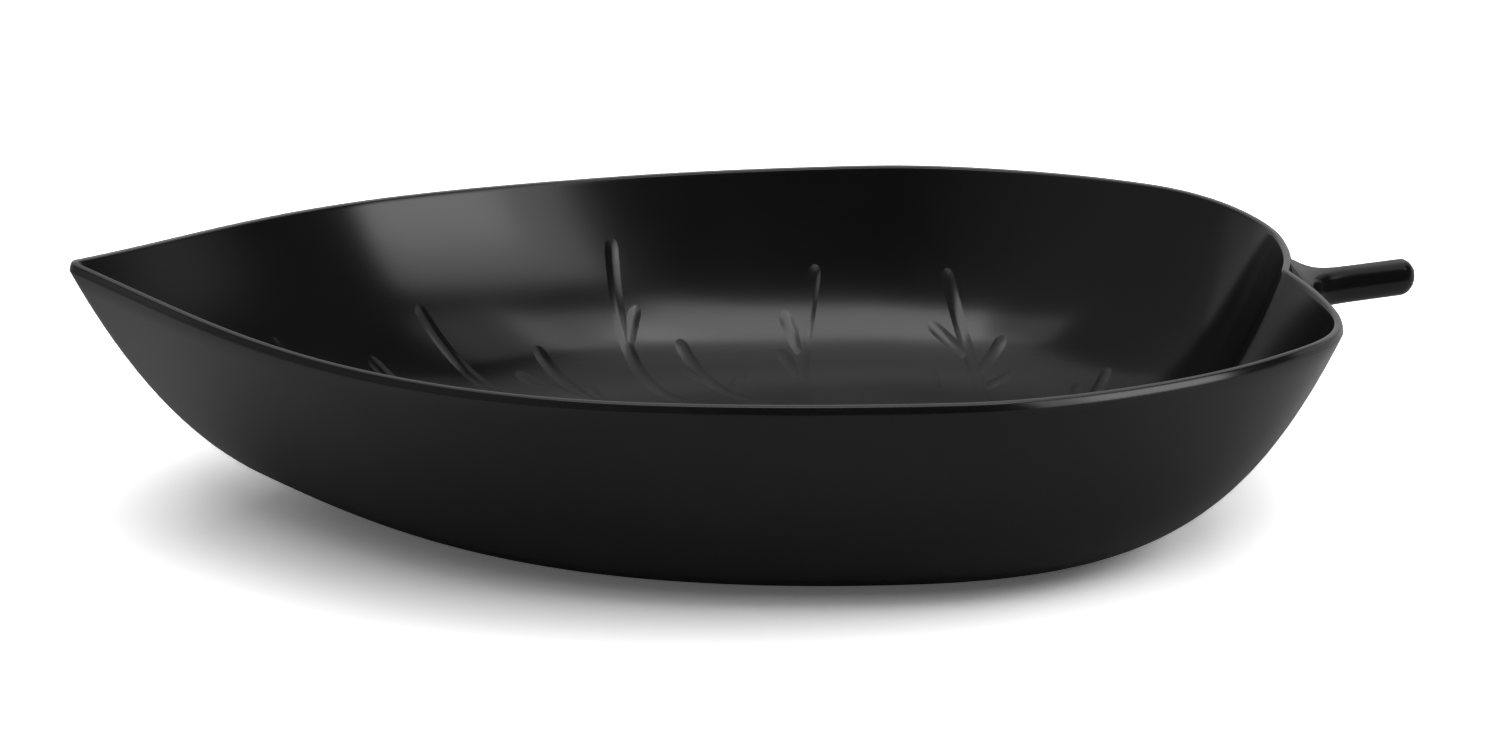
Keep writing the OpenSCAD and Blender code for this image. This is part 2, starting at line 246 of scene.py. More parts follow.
@dataclass(frozen=True)
class BowlForm:
    """The bowl's surfaces, which the shell, the veins, the stem and the foot ring all follow."""

    leaf_length: float = 0.304
    leaf_width: float = 0.195
    leaf_widest: float = 0.206
    tip_angle: float = 46.0
    tip_inner_radius: float = 0.0016
    rim_fullness: tuple[float, float, float, float] = (0.47, 0.69, 0.26, 0.67)
    lobe_gap: float = 0.063
    notch_depth: float = 0.005
    wall_height: float = 0.0547
    wall: float = 0.0028
    wall_sweep: float = 3.0
    tip_sweep: float = 3.4
    tip_rise: float = 0.0078
    tip_rise_run: float = 0.133
    lobe_dip: float = 0.0026
    lobe_dip_run: float = 0.025
    floor_start: float = 0.099
    floor_end: float = 0.243
    floor_width: float = 0.114
    floor_widest: float = 0.192
    floor_nose_radius: float = 0.015
    floor_nose_angle: float = 68.0
    floor_back_width: float = 0.017
    floor_fullness: tuple[float, float, float, float] = (0.89, 0.3, 0.63, 0.92)
    foot_height: float = 0.0012
    stem_length: float = 0.031
    rim_rise: float = 0.7
    rim_lean: float = 0.22
    rim_ease: float = 0.14
    rim_square: float = 1.3
    probe: float = 0.001

    @property
    def notch_x(self) -> float:
        """Distance from the tip to the bottom of the notch."""
        return self.leaf_length - self.notch_depth

    @property
    def overall_length(self) -> float:
        """Distance from the tip to the end of the stem."""
        return self.notch_x + self.stem_length

    @property
    def floor_z(self) -> float:
        """Height of the floor's upper face."""
        return self.foot_height + self.wall

    @cached_property
    def rim(self) -> HalfOutline:
        """The outline of the rim."""
        return HalfOutline(
            start=0.0,
            nose_radius=self.wall + self.tip_inner_radius,
            nose_angle=self.tip_angle,
            widest=self.leaf_widest,
            half_width=self.leaf_width / 2,
            end=self.leaf_length,
            lobe=self.lobe_gap / 2,
            notch=self.notch_depth,
            fullness=self.rim_fullness,
        )

    @cached_property
    def floor(self) -> HalfOutline:
        """The outline of the floor."""
        return HalfOutline(
            start=self.floor_start,
            nose_radius=self.floor_nose_radius,
            nose_angle=self.floor_nose_angle,
            widest=self.floor_widest,
            half_width=self.floor_width / 2,
            end=self.floor_end,
            lobe=self.floor_back_width / 2,
            notch=0.0,
            fullness=self.floor_fullness,
        )

    def place(self, points: np.ndarray) -> np.ndarray:
        """Return points counted from the tip as points in the part's own frame."""
        return points - [self.overall_length / 2, 0.0, 0.0]

    def edge_z(self, x: np.ndarray) -> np.ndarray:
        """Height of the wall's outer edge.

        Args:
            x: Distances of the rim from the tip.

        Returns:
            One height per distance.
        """
        rise = self.tip_rise * np.maximum(0.0, 1 - x / self.tip_rise_run) ** 2
        dip = self.lobe_dip * np.maximum(0.0, 1 - (self.leaf_length - x) / self.lobe_dip_run) ** 2
        return self.wall_height + rise - dip

    def sweep(self, x: np.ndarray) -> np.ndarray:
        """How sharply the wall turns up.

        Args:
            x: Distances of the rim from the tip.

        Returns:
            One power per distance.
        """
        nearness = np.maximum(0.0, 1 - x / self.tip_rise_run) ** 2
        return self.wall_sweep + (self.tip_sweep - self.wall_sweep) * nearness

    def outer(self, stations: np.ndarray, shares: np.ndarray) -> np.ndarray:
        """Points on the outside of the wall.

        Args:
            stations: The stations round the leaf.
            shares: The height shares, one per station.

        Returns:
            One point per station.
        """
        rim = self.rim.at(stations)
        floor = self.floor.at(stations)
        plan = floor + (rim - floor) * shares[:, None]
        height = (self.edge_z(rim[:, 0]) - self.foot_height) * shares ** self.sweep(rim[:, 0])
        return np.column_stack([plan, self.foot_height + height])

    def upward(self, stations: np.ndarray, shares: np.ndarray) -> np.ndarray:
        """Directions up the wall.

        Args:
            stations: The stations round the leaf.
            shares: The height shares, one per station.

        Returns:
            One direction per station.
        """
        rim = self.rim.at(stations)
        across = rim - self.floor.at(stations)
        turn = self.sweep(rim[:, 0])
        climb = (self.edge_z(rim[:, 0]) - self.foot_height) * turn * shares ** (turn - 1)
        return unit(np.column_stack([across, climb]))

    def inward(self, stations: np.ndarray, shares: np.ndarray) -> np.ndarray:
        """Directions into the bowl, square to the wall.

        Args:
            stations: The stations round the leaf.
            shares: The height shares, one per station.

        Returns:
            One direction per station.
        """
        ahead = self.outer(stations + self.probe, shares)
        behind = self.outer(stations - self.probe, shares)
        return unit(np.cross(ahead - behind, self.upward(stations, shares)))

    def inner(self, stations: np.ndarray, shares: np.ndarray) -> np.ndarray:
        """Points on the inside of the wall.

        Args:
            stations: The stations round the leaf.
            shares: The height shares, one per station.

        Returns:
            One point per station.
        """
        return self.outer(stations, shares) + self.inward(stations, shares) * self.wall

    def lip(self, stations: np.ndarray, face_rows: int, ease_rows: int) -> list[np.ndarray]:
        """Rows of points over the rim, from outside to inside.

        Args:
            stations: The stations round the leaf.
            face_rows: How many rows the outer face has, which leans in and is eased at its ends.
            ease_rows: How many rows the eased inner edge of the flat top has.

        Returns:
            The rows, each with one point per station.
        """
        top = np.ones_like(stations)
        edge = self.outer(stations, top)
        inward = self.inward(stations, top)
        upward = self.upward(stations, top)
        level = unit(inward * [1.0, 1.0, 0.0])
        rest = (self.rim_rise - inward[:, 2:]) / upward[:, 2:]
        corner = edge + (inward + upward * rest) * self.wall
        rows = []
        for turn in np.radians(np.linspace(0.0, 90.0, face_rows + 1)[1:]):
            lean = self.rim_lean * (1 - max(math.cos(turn), 0.0) ** (2 / self.rim_square))
            rise = self.rim_rise * math.sin(turn) ** (2 / self.rim_square)
            rows.append(edge + (level * lean + [0.0, 0.0, rise]) * self.wall)
        for turn in np.radians(np.linspace(0.0, 90.0, ease_rows)):
            back = level * (1 - math.sin(turn)) + upward * (1 - math.cos(turn))
            rows.append(corner - back * self.rim_ease * self.wall)
        return rows


def bands(rows: int, count: int, closed: bool = False) -> Faces:
    """Make the faces between closed rings of points that follow each other.

    Args:
        rows: How many rings there are.
        count: How many points each ring has.
        closed: Whether the last ring is joined to the first.

    Returns:
        The faces, ring by ring.
    """
    faces: Faces = []
    for r in range(rows if closed else rows - 1):
        a = r * count
        b = (r + 1) % rows * count
        for c in range(count):
            d = (c + 1) % count
            faces.append((a + c, a + d, b + d, b + c))
    return faces


def lofted(rings: list[np.ndarray]) -> Skin:
    """Skin closed rings of points and close both ends with fans.

    Args:
        rings: Rings with the same number of points, from one end to the other.

    Returns:
        The points and the faces of a closed skin.
    """
    count = len(rings[0])
    middles = [rings[0].mean(axis=0), rings[-1].mean(axis=0)]
    points = np.concatenate([*rings, middles])
    faces = bands(len(rings), count)
    last = (len(rings) - 1) * count
    for c in range(count):
        d = (c + 1) % count
        faces.append((len(points) - 2, d, c))
        faces.append((len(points) - 1, last + c, last + d))
    return points, faces


def joined(parts: list[Skin]) -> Skin:
    """Put several skins into one.

    Args:
        parts: The points and faces of each skin.

    Returns:
        The points and faces of them all.
    """
    faces: Faces = []
    offset = 0
    for points, part_faces in parts:
        faces += [tuple(i + offset for i in face) for face in part_faces]
        offset += len(points)
    return np.concatenate([points for points, _ in parts]), faces


def add_piece(name: str, skin: Skin, node: str) -> Piece:
    """Make a smooth-shaded piece that stands for a node of the part.

    Args:
        name: The piece's name.
        skin: Its points, in the part's own frame, and its faces.
        node: The node that it replaces.

    Returns:
        The new object.
    """
    mesh = bpy.data.meshes.new(name)
    mesh.from_pydata(skin[0].tolist(), [], skin[1])
    work = bmesh.new()
    work.from_mesh(mesh)
    bmesh.ops.recalc_face_normals(work, faces=work.faces)
    work.to_mesh(mesh)
    work.free()
    mesh.shade_smooth()
    piece = bpy.data.objects.new(name, mesh)
    bpy.context.scene.collection.objects.link(piece)
    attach(piece, BODY)
    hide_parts(node)
    low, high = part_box(node)
    span = np.ptp(skin[0], axis=0) * MILLIMETRES
    cad_span = np.array(high - low) * MILLIMETRES
    LOG.info("%s stands for %s: %s mm, CAD %s mm", name, node, span.round(1), cad_span.round(1))
    return piece


def eased(tree: Tree, value: Socket, span: Pair, levels: Pair) -> Socket:
    """Ease from one level to another as a value runs through a span.

    Args:
        tree: The nodes of a finish or of the surround.
        value: The socket with the value.
        span: The value at the first level and at the second.
        levels: The two levels.

    Returns:
        The socket with the level.
    """
    node = tree.nodes.new("ShaderNodeMapRange")
    node.interpolation_type = "SMOOTHSTEP"
    node.inputs["From Min"].default_value, node.inputs["From Max"].default_value = span
    node.inputs["To Min"].default_value, node.inputs["To Max"].default_value = levels
    tree.links.new(value, node.inputs["Value"])
    return node.outputs["Result"]


@dataclass(frozen=True)
class BlackFinish:
    """A moulded black finish with a faint mottle and a very fine grain.

    Low down it may be scuffed, which adds to its roughness, and painted lighter, which multiplies its
    colour to stand in for light on the floor of the bowl.
    """

    name: str
    colour: tuple[float, float, float] = (0.0036, 0.0036, 0.0038)
    mottle: float = 0.35
    mottle_size: float = 0.02
    mottle_detail: float = 4.0
    roughness: float = 0.3
    roughness_spread: float = 0.05
    grain_size: float = 0.0006
    grain_detail: float = 2.0
    grain_depth: float = 0.00002
    grain_strength: float = 0.25
    specular: float = 0.5
    scuff: float = 0.0
    scuff_heights: Pair = (0.006, 0.016)
    # Painted light: below the lower height the colour is multiplied by this factor, easing back to 1 at
    # the upper height.
    painted_light: float = 1.0
    painted_light_heights: Pair = (0.0042, 0.009)

    def material(self) -> Finish:
        """Make the finish as a node material.

        Returns:
            The new material.
        """
        material = bpy.data.materials.new(self.name)
        material.use_nodes = True
        tree = material.node_tree
        shader = tree.nodes["Principled BSDF"]
        shader.inputs["Specular IOR Level"].default_value = self.specular
        place = tree.nodes.new("ShaderNodeTexCoord").outputs["Object"]
        cloud = self.noise(tree, place, self.mottle_size, self.mottle_detail)
        grain = self.noise(tree, place, self.grain_size, self.grain_detail)
        tint = tree.nodes.new("ShaderNodeValToRGB")
        dark, light = tint.color_ramp.elements
        dark.color = (*(c * (1 - self.mottle) for c in self.colour), 1.0)
        light.color = (*(c * (1 + self.mottle) for c in self.colour), 1.0)
        tree.links.new(cloud, tint.inputs["Fac"])
        gloss = tree.nodes.new("ShaderNodeMapRange")
        gloss.inputs["To Min"].default_value = self.roughness - self.roughness_spread
        gloss.inputs["To Max"].default_value = self.roughness + self.roughness_spread
        tree.links.new(cloud, gloss.inputs["Value"])
        axes = tree.nodes.new("ShaderNodeSeparateXYZ")
        tree.links.new(place, axes.inputs[0])
        height = axes.outputs["Z"]
        # Painted light: low down the colour is multiplied up, so that the floor of the bowl looks more
        # lit.
        painted_light = eased(tree, height, self.painted_light_heights, (self.painted_light, 1.0))
        lightened = tree.nodes.new("ShaderNodeVectorMath")
        lightened.operation = "SCALE"
        tree.links.new(tint.outputs["Color"], lightened.inputs["Vector"])
        tree.links.new(painted_light, lightened.inputs["Scale"])
        tree.links.new(lightened.outputs["Vector"], shader.inputs["Base Color"])
        scuff = eased(tree, height, self.scuff_heights, (self.scuff, 0.0))
        dullness = tree.nodes.new("ShaderNodeMath")
        tree.links.new(gloss.outputs["Result"], dullness.inputs[0])
        tree.links.new(scuff, dullness.inputs[1])
        tree.links.new(dullness.outputs[0], shader.inputs["Roughness"])
        bump = tree.nodes.new("ShaderNodeBump")
        bump.inputs["Strength"].default_value = self.grain_strength
        bump.inputs["Distance"].default_value = self.grain_depth
        tree.links.new(grain, bump.inputs["Height"])
        tree.links.new(bump.outputs["Normal"], shader.inputs["Normal"])
        return material

    @staticmethod
    def noise(tree: Tree, place: Socket, size: float, detail: float) -> Socket:
        """Add a noise of a given grain.

        Args:
            tree: The material's nodes.
            place: The coordinates that the noise follows.
            size: The size of one lump.
            detail: How many finer layers it has.

        Returns:
            The socket with the noise's value.
        """
        node = tree.nodes.new("ShaderNodeTexNoise")
        node.inputs["Scale"].default_value = 1 / size
        node.inputs["Detail"].default_value = detail
        tree.links.new(place, node.inputs["Vector"])
        return node.outputs["Fac"]


# Painted light: the inside's colour is 4.5 times lighter on the floor of the bowl and low in the cove,
# easing back higher up.
SATIN_INSIDE = BlackFinish(
    "satin_black_inside", roughness=0.17, roughness_spread=0.02, scuff=0.28, painted_light=4.5
)
MATTE_OUTSIDE = BlackFinish("matte_black_outside", roughness=0.24)
GLOSS_STEM = BlackFinish("gloss_black_stem", roughness=0.24, roughness_spread=0.02, specular=0.36)
MATTE_FOOT = BlackFinish("matte_black_foot", roughness=0.55)


@dataclass
class BowlShell:
    """The bowl's one-piece shell: floor, flared wall and rounded rim."""

    form: BowlForm
    inside: Finish
    outside: Finish
    half_stations: int = 150
    tip_stations: int = 12
    notch_stations: int = 24
    wall_rows: int = 40
    face_rows: int = 10
    ease_rows: int = 6
    floor_rings: int = 10

    def stations(self) -> np.ndarray:
        """Spread stations round the whole rim, closer together at the tip and the notch.

        Returns:
            Stations from 0 to just under 2.
        """
        marks = np.cumsum(STRETCHES) / sum(STRETCHES)
        known, arcs = self.form.rim.table[0]
        sides = resampled(np.column_stack([arcs, known]), self.half_stations)[:, 1]
        middle = sides[(sides > marks[0]) & (sides < marks[2])]
        tip = np.linspace(0.0, marks[0], self.tip_stations)
        notch = np.linspace(marks[2], 1.0, self.notch_stations)
        half = np.concatenate([tip, middle, notch])
        return np.concatenate([half, 2.0 - half[-2:0:-1]])

    def floor_rows(self, stations: np.ndarray, height: float) -> list[np.ndarray]:
        """Rings that shrink from the floor's edge to its middle.

        Args:
            stations: The stations round the leaf.
            height: The height of the face.

        Returns:
            The rings, from the edge inwards, without the edge itself.
        """
        edge = self.form.floor.at(stations)
        middle = np.array([(self.form.floor_start + self.form.floor_end) / 2, 0.0])
        rings = []
        for k in range(self.floor_rings - 1, 0, -1):
            plan = middle + (edge - middle) * k / self.floor_rings
            rings.append(np.column_stack([plan, np.full(len(plan), height)]))
        return rings

    def build(self) -> Piece:
        """Loft the shell and dress its two sides.

        Returns:
            The shell.
        """
        form = self.form
        stations = self.stations()
        shares = np.linspace(0.0, 1.0, self.wall_rows + 1)
        under = self.floor_rows(stations, form.foot_height)[::-1]
        outside = [form.outer(stations, np.full(len(stations), g)) for g in shares]
        lip = form.lip(stations, self.face_rows, self.ease_rows)
        inside = [form.inner(stations, np.full(len(stations), g)) for g in shares[::-1]]
        over = self.floor_rows(stations, form.floor_z)
        points, faces = lofted([*under, *outside, *lip, *inside, *over])
        shell = add_piece("leaf_bowl_shell", (form.place(points), faces), "bowl_shell")
        self.dress(shell, len(stations) * (len(under) + len(outside) - 1))
        return shell

    def dress(self, shell: Piece, outside_faces: int) -> None:
        """Give the outside and the inside their finishes, which meet where the rim starts.

        The fans that close the skin come last, a face of the underside and one of the floor in turn.

        Args:
            shell: The shell.
            outside_faces: How many of its first faces lie outside.
        """
        shell.data.materials.append(self.outside)
        shell.data.materials.append(self.inside)
        count = len(shell.data.polygons)
        index = (np.arange(count) >= outside_faces).astype(int)
        ring = len(self.stations())
        index[count - 2 * ring :: 2] = 0
        shell.data.polygons.foreach_set("material_index", index)


@dataclass(frozen=True)
class Vein:
    """One side vein: where it leaves the floor, where it ends, and its forks.

    A fork is the height share where it starts, then the station and the height share where it ends.
    """

    leaves: float
    ends: float
    height: float
    forks: tuple[tuple[float, float, float], ...] = ()

    def station(self, share: np.ndarray) -> np.ndarray:
        """Return the vein's station at a height share."""
        return self.leaves + (self.ends - self.leaves) * share / self.height


VEINS = (
    Vein(0.160, 0.186, 0.83),
    Vein(0.222, 0.246, 0.73),
    Vein(0.275, 0.312, 0.82),
    Vein(0.322, 0.367, 0.66, ((0.33, 0.332, 0.57), (0.24, 0.368, 0.45))),
    Vein(0.380, 0.442, 0.91, ((0.60, 0.442, 0.75),)),
    Vein(0.440, 0.453, 0.63, ((0.36, 0.441, 0.50), (0.18, 0.480, 0.44))),
    Vein(0.502, 0.523, 0.83, ((0.50, 0.508, 0.71), (0.33, 0.503, 0.56))),
    Vein(0.650, 0.613, 0.44),
    Vein(0.705, 0.613, 0.82, ((0.50, 0.604, 0.66), (0.38, 0.671, 0.63), (0.24, 0.696, 0.46))),
    Vein(0.820, 0.772, 0.57, ((0.20, 0.755, 0.45),)),
)


@dataclass
class VeinRelief:
    """The raised midrib and side veins on the inside of the bowl."""

    form: BowlForm
    finish: Finish
    width: float = 0.0058
    height: float = 0.00027
    fade: float = 0.005
    first_root: float = 0.36
    root_step: float = 0.07
    midrib_width: float = 0.0075
    midrib_tip_width: float = 0.0042
    midrib_root: float = 0.0015
    midrib_ends: Pair = (0.6, 0.5)
    midrib_wall_points: int = 60
    midrib_floor_points: int = 80
    vein_wall_points: int = 80
    vein_floor_points: int = 60
    fork_points: int = 40
    depth: float = 0.0008
    sink: float = 0.00006
    spacing: float = 0.0007
    least_sections: int = 12
    end_taper: float = 0.02
    profile_points: int = 17

    def floor_path(self, plan: np.ndarray) -> Path:
        """A path on the floor.

        Args:
            plan: The path seen from above.

        Returns:
            The path.
        """
        points = np.column_stack([plan, np.full(len(plan), self.form.floor_z)])
        return points, np.tile([0.0, 0.0, 1.0], (len(plan), 1))

    def wall_path(self, stations: np.ndarray, shares: np.ndarray) -> Path:
        """A path up the inside of the wall.

        Args:
            stations: The path's stations.
            shares: The path's height shares.

        Returns:
            The path.
        """
        return self.form.inner(stations, shares), self.form.inward(stations, shares)

    def main_path(self, number: int, vein: Vein) -> Path:
        """The path of a side vein on the right half, from its root at the midrib to its end.

        Args:
            number: The vein's number, counted from the tip.
            vein: The vein.

        Returns:
            The path.
        """
        form = self.form
        shares = np.linspace(0.0, vein.height, self.vein_wall_points)
        climb, climb_normals = self.wall_path(vein.station(shares), shares)
        share = self.first_root + (number - 1) * self.root_step
        root_x = form.floor_start + (form.floor_end - form.floor_start) * share
        root = np.array([root_x, self.midrib_root])
        edge = climb[0, :2]
        heading = unit(climb[1, :2] - edge)
        reach = np.linalg.norm(edge - root) / 3
        control = np.array([root, root + (edge - root) / 3, edge - heading * reach, edge])
        t = np.linspace(0.0, 1.0, self.vein_floor_points)
        run, run_normals = self.floor_path(cubic(control, t))
        return np.concatenate([run, climb[1:]]), np.concatenate([run_normals, climb_normals[1:]])

    def fork_path(self, vein: Vein, fork: tuple[float, float, float]) -> Path:
        """The path of a fork, from where it leaves its vein.

        Args:
            vein: The vein.
            fork: The fork's start height share, end station and end height share.

        Returns:
            The path.
        """
        start, station, share = fork
        t = np.linspace(0.0, 1.0, self.fork_points)
        begin = vein.station(start)
        return self.wall_path(begin + (station - begin) * t, start + (share - start) * t)

    def ridge(self, path: Path, widths: Pair) -> Skin:
        """Raise a soft ridge along a path, round at its start and fading out at its end.

        Args:
            path: The path.
            widths: The ridge's width at its start and at its end.

        Returns:
            The points and faces of the ridge, counted from the tip.
        """
        points, normals = path
        arcs = arc_lengths(points)
        count = max(self.least_sections, round(arcs[-1] / self.spacing))
        even = np.linspace(0.0, arcs[-1], count)
        spine = resampled(points, count)
        square = unit(np.stack([np.interp(even, arcs, column) for column in normals.T], axis=1))
        along = unit(np.gradient(spine, axis=0))
        across = unit(np.cross(square, along))
        half = np.linspace(widths[0], widths[1], count) / 2
        from_end = np.minimum(even, arcs[-1] - even)
        rounding = np.clip(1 - from_end / half, 0.0, 1.0)
        taper = np.sqrt(np.clip(1 - rounding**2, self.end_taper, 1.0))
        near_end = np.clip((arcs[-1] - even) / self.fade, 0.0, 1.0)
        swell = taper * near_end * (2 - near_end)
        profile = np.linspace(-1.0, 1.0, self.profile_points)
        bell = np.cos(profile * math.pi / 2) ** 2
        rings = []
        for k in range(count):
            offset = np.outer(profile * half[k] * taper[k], across[k])
            rise = np.outer(bell * self.height * swell[k] - self.sink, square[k])
            top = spine[k] + offset + rise
            base = spine[k] - square[k] * self.depth + offset[[-1, 0]]
            rings.append(np.concatenate([top, base]))
        return lofted(rings)

    def build_midrib(self) -> Piece:
        """Raise the midrib from the tip's wall over the floor to the notch's wall.

        Returns:
            The midrib.
        """
        form = self.form
        down = np.linspace(self.midrib_ends[0], 0.0, self.midrib_wall_points)
        up = np.linspace(0.0, self.midrib_ends[1], self.midrib_wall_points)
        tip, tip_normals = self.wall_path(np.zeros_like(down), down)
        middle = np.linspace(form.floor_start, form.floor_end, self.midrib_floor_points)
        run, run_normals = self.floor_path(np.column_stack([middle, np.zeros_like(middle)]))
        back, back_normals = self.wall_path(np.ones_like(up), up)
        path = np.concatenate([tip, run[1:-1], back])
        normals = np.concatenate([tip_normals, run_normals[1:-1], back_normals])
        points, faces = self.ridge((path, normals), (self.midrib_tip_width, self.midrib_width))
        rib = add_piece("leaf_midrib", (form.place(points), faces), "midrib")
        rib.data.materials.append(self.finish)
        return rib

    def build_vein(self, number: int, vein: Vein, half: Half) -> Piece:
        """Raise one side vein with its forks.

        Args:
            number: The vein's number, counted from the tip.
            vein: The vein.
            half: The half of the leaf that it lies on.

        Returns:
            The vein.
        """
        widths = (self.width, self.width)
        ridges = [self.ridge(self.main_path(number, vein), widths)]
        ridges += [self.ridge(self.fork_path(vein, fork), widths) for fork in vein.forks]
        points, faces = joined(ridges)
        points = self.form.place(points) * [1.0, half.value, 1.0]
        side = half.name.lower()
        name = f"leaf_vein_{side}_{number}"
        piece = add_piece(name, (points, faces), f"{side}_vein_{number}")
        piece.data.materials.append(self.finish)
        return piece

    def build(self) -> list[Piece]:
        """Raise the midrib and all side veins.

        Returns:
            The pieces.
        """
        pieces = [self.build_midrib()]
        for half in Half:
            pieces += [self.build_vein(k, vein, half) for k, vein in enumerate(VEINS, start=1)]
        return pieces


@dataclass
class StemHandle:
    """The short stem that carries on from the notch, flared where it joins the rim."""

    form: BowlForm
    finish: Finish
    width: float = 0.0084
    top_width: float = 0.0064
    end_width: float = 0.0076
    thickness: float = 0.0089
    root_thickness: float = 0.0093
    edge_radius: float = 0.0029
    end_length: float = 0.0036
    end_scale: float = 0.12
    root_flare: float = 0.02
    flare_power: float = 12.0
    lift: float = 0.001
    rise: float = 6.0
    blended_share: float = 0.5
    rim_stations: Pair = (1.0, 0.85)
    rim_points: int = 80
    seat_stations: Pair = (0.8, 1.2)
    seat_shares: Pair = (0.75, 1.0)
    seat_grid: tuple[int, int] = (161, 51)
    sections: int = 70
    end_sections: int = 16
    directions: int = 96

    def section(self, x: float, size: float) -> np.ndarray:
        """One cross-section: a round belly under a flatter top that widens towards the end.

        At the root its upper part is drawn up to the top of the rim.

        Args:
            x: Its distance from the tip.
            size: Its share of the full size.

        Returns:
            The ring of its points, counted from the tip.
        """
        form = self.form
        root = form.notch_x - form.wall
        t = (x - root) / (form.overall_length - root)
        past = max(0.0, (x - form.notch_x - form.wall) / form.stem_length)
        spread = self.root_flare / 2 * (1 - past) ** self.flare_power
        top = float(form.edge_z(np.array([form.notch_x]))[0]) + self.lift
        top += (x - form.notch_x) * math.tan(math.radians(self.rise))
        half = (self.root_thickness + (self.thickness - self.root_thickness) * t) / 2
        belly = min(self.width / 2, half)
        edge = (self.top_width + (self.end_width - self.top_width) * t) / 2 - self.edge_radius + spread
        edge_z = half - self.edge_radius
        side = self.width / 2 - belly + spread
        side_z = belly - half
        middles = np.array([[edge, edge_z], [-edge, edge_z], [side, side_z], [-side, side_z]])
        radii = np.array([self.edge_radius, self.edge_radius, belly, belly])
        turns = np.radians((np.arange(self.directions) + 0.5) * 360.0 / self.directions)
        ways = np.column_stack([np.cos(turns), np.sin(turns)])
        chosen = np.argmax(ways @ middles.T + radii, axis=1)
        outline = (middles[chosen] + radii[chosen, None] * ways) * size
        ring = np.column_stack([np.full(len(outline), x), outline[:, 0], outline[:, 1] + top - half])
        upper = np.clip(outline[:, 1] / (half * self.blended_share), 0.0, 1.0)
        blend = (1 - past) ** self.flare_power * upper
        ring[:, 2] += (np.interp(np.abs(ring[:, 1]), *self.rim_top) - top) * blend
        return ring

    @cached_property
    def rim_top(self) -> tuple[np.ndarray, np.ndarray]:
        """Distances of the notch's rim from the midline, and the heights of the rim's top there."""
        form = self.form
        rim = form.rim.at(np.linspace(*self.rim_stations, self.rim_points))
        return rim[:, 1], form.edge_z(rim[:, 0]) + form.rim_rise * form.wall

    @cached_property
    def seat(self) -> np.ndarray:
        """Points in the middle of the wall round the notch, counted from the tip."""
        around = np.linspace(*self.seat_stations, self.seat_grid[0])
        upwards = np.linspace(*self.seat_shares, self.seat_grid[1])
        stations, shares = (grid.ravel() for grid in np.meshgrid(around, upwards))
        return (self.form.outer(stations, shares) + self.form.inner(stations, shares)) / 2

    def seated(self, ring: np.ndarray) -> np.ndarray:
        """Hold a cross-section's points back to the middle of the wall.

        Args:
            ring: The points, counted from the tip.

        Returns:
            The points, none of them further into the bowl than the middle of the wall.
        """
        gaps = np.linalg.norm(ring[:, None, 1:] - self.seat[None, :, 1:], axis=2)
        held = ring.copy()
        held[:, 0] = np.maximum(ring[:, 0], self.seat[np.argmin(gaps, axis=1), 0])
        return held

    def build(self) -> Piece:
        """Loft the stem and dress it.

        Returns:
            The stem.
        """
        form = self.form
        start = form.notch_x - 2 * form.wall
        straight_end = form.overall_length - self.end_length
        straight = [(x, 1.0) for x in np.linspace(start, straight_end, self.sections)]
        last = math.acos(self.end_scale)
        turns = np.linspace(0.0, last, self.end_sections + 1)[1:]
        reach = self.end_length / math.sin(last)
        dome = [(straight_end + reach * math.sin(a), math.cos(a)) for a in turns]
        points, faces = lofted([self.seated(self.section(x, size)) for x, size in straight + dome])
        stem = add_piece("leaf_stem", (form.place(points), faces), "stem_handle")
        stem.data.materials.append(self.finish)
        return stem


@dataclass
class FootRing:
    """The low ring under the floor that the bowl stands on, with its edges eased."""

    form: BowlForm
    finish: Finish
    inset: float = 0.002
    tread: float = 0.005
    edge_radius: float = 0.0004
    stations: int = 260
    corner_steps: int = 5

    def build(self) -> Piece:
        """Sweep the ring's eased section round the floor and dress it.

        Returns:
            The foot ring.
        """
        form = self.form
        around = np.linspace(0.0, 2.0, self.stations, endpoint=False)
        edge = form.floor.at(around)
        along = unit(form.floor.at(around + form.probe) - form.floor.at(around - form.probe))
        inwards = np.column_stack([along[:, 1], -along[:, 0]])
        turns = np.radians(np.linspace(90.0, 0.0, self.corner_steps))
        corner = self.edge_radius * np.column_stack([1 - np.sin(turns), 1 - np.cos(turns)])
        outer = [(self.inset, form.foot_height), *(corner + [self.inset, 0.0])]
        inner = [(2 * self.inset + self.tread - d, z) for d, z in outer[::-1]]
        rings = [np.column_stack([edge + inwards * d, np.full(len(edge), z)]) for d, z in outer + inner]
        points = np.concatenate(rings)
        faces = bands(len(rings), len(edge), closed=True)
        ring = add_piece("leaf_foot_ring", (form.place(points), faces), "foot_ring")
        ring.data.materials.append(self.finish)
        return ring


@dataclass(frozen=True)
class PhotoCamera:
    """The camera at the photograph's viewing angle."""

    look_at: tuple[float, float, float] = (-0.0005, 0.0, 0.0338)
    distance: float = 0.8994
    down: float = 19.0
    yaw: float = 4.5
    focal_pixels: float = 3643.6
    clip_start: float = 0.01

    def build(self) -> Piece:
        """Place the camera and make it the scene's own.

        Returns:
            The camera.
        """
        down = math.radians(self.down)
        yaw = math.radians(self.yaw)
        level = math.cos(down)
        forward = Vector((math.sin(yaw) * level, math.cos(yaw) * level, -math.sin(down)))
        data = bpy.data.cameras.new("photo_camera")
        data.sensor_fit = "HORIZONTAL"
        data.sensor_width = SENSOR_WIDTH
        data.lens = self.focal_pixels / PHOTO_WIDTH * SENSOR_WIDTH
        data.clip_start = self.clip_start
        camera = bpy.data.objects.new("photo_camera", data)
        camera.location = Vector(self.look_at) - forward * self.distance
        camera.rotation_euler = forward.to_track_quat("-Z", "Y").to_euler()
        bpy.context.scene.collection.objects.link(camera)
        bpy.context.scene.camera = camera
        return camera


